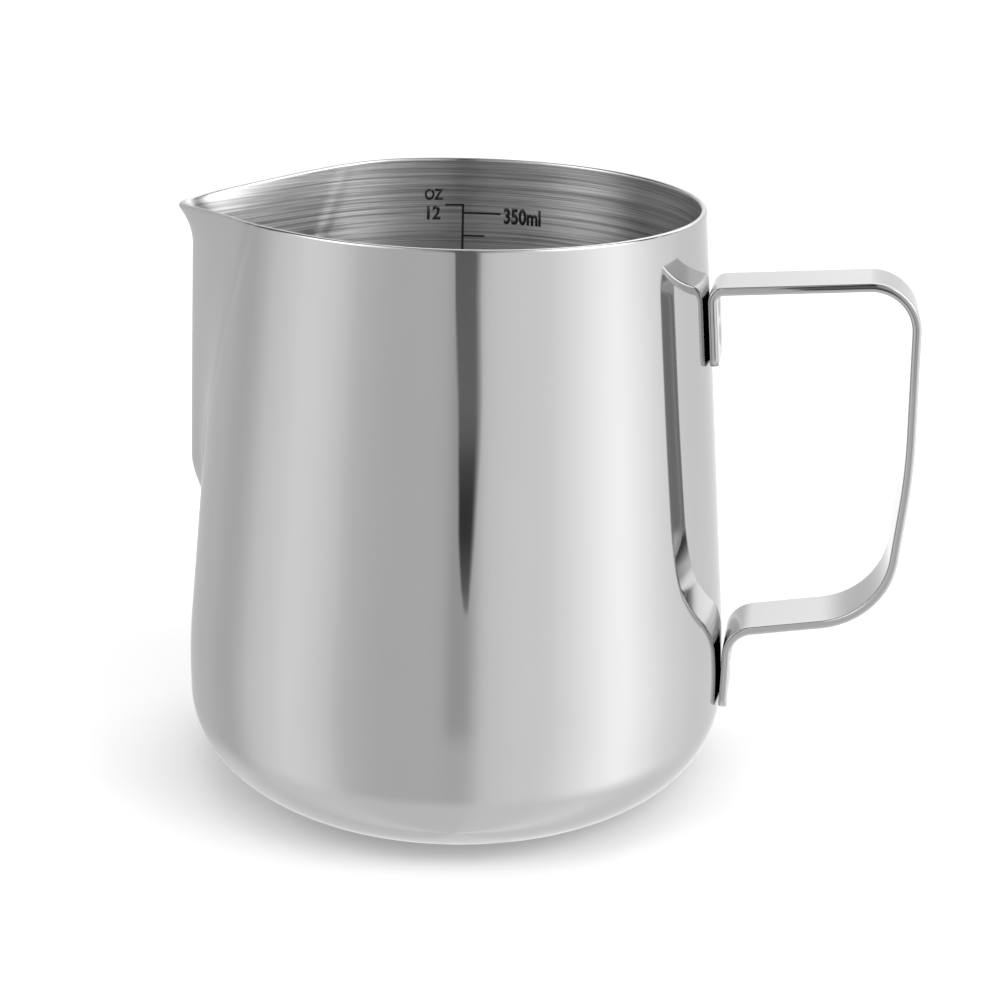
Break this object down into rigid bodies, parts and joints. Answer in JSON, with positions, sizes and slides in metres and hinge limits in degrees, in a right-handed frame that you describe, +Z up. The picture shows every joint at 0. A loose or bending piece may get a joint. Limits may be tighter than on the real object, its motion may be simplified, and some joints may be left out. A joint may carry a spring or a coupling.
{
  "type": "milk frothing pitcher",
  "caption": "Stainless steel milk frothing pitcher with a bellied cup, a pressed pouring spout and a bent strip handle spot welded to the wall.",
  "frame": {"origin": "centre of the flat base, on the surface that the pitcher stands on", "axes": "+Z up along the cup's axis, +X towards the handle, -X towards the spout"},
  "size_m": [0.1089, 0.0824, 0.0867],
  "materials": {
    "cup_steel": "polished outside, brushed inside",
    "handle_steel": "polished",
    "weld_steel": "satin"
  },
  "bodies": {
    "root": {"pitcher_body": "cup_steel", "handle": "handle_steel", "upper_spot_welds": "weld_steel", "lower_spot_welds": "weld_steel"}
  },
  "joints": []
}
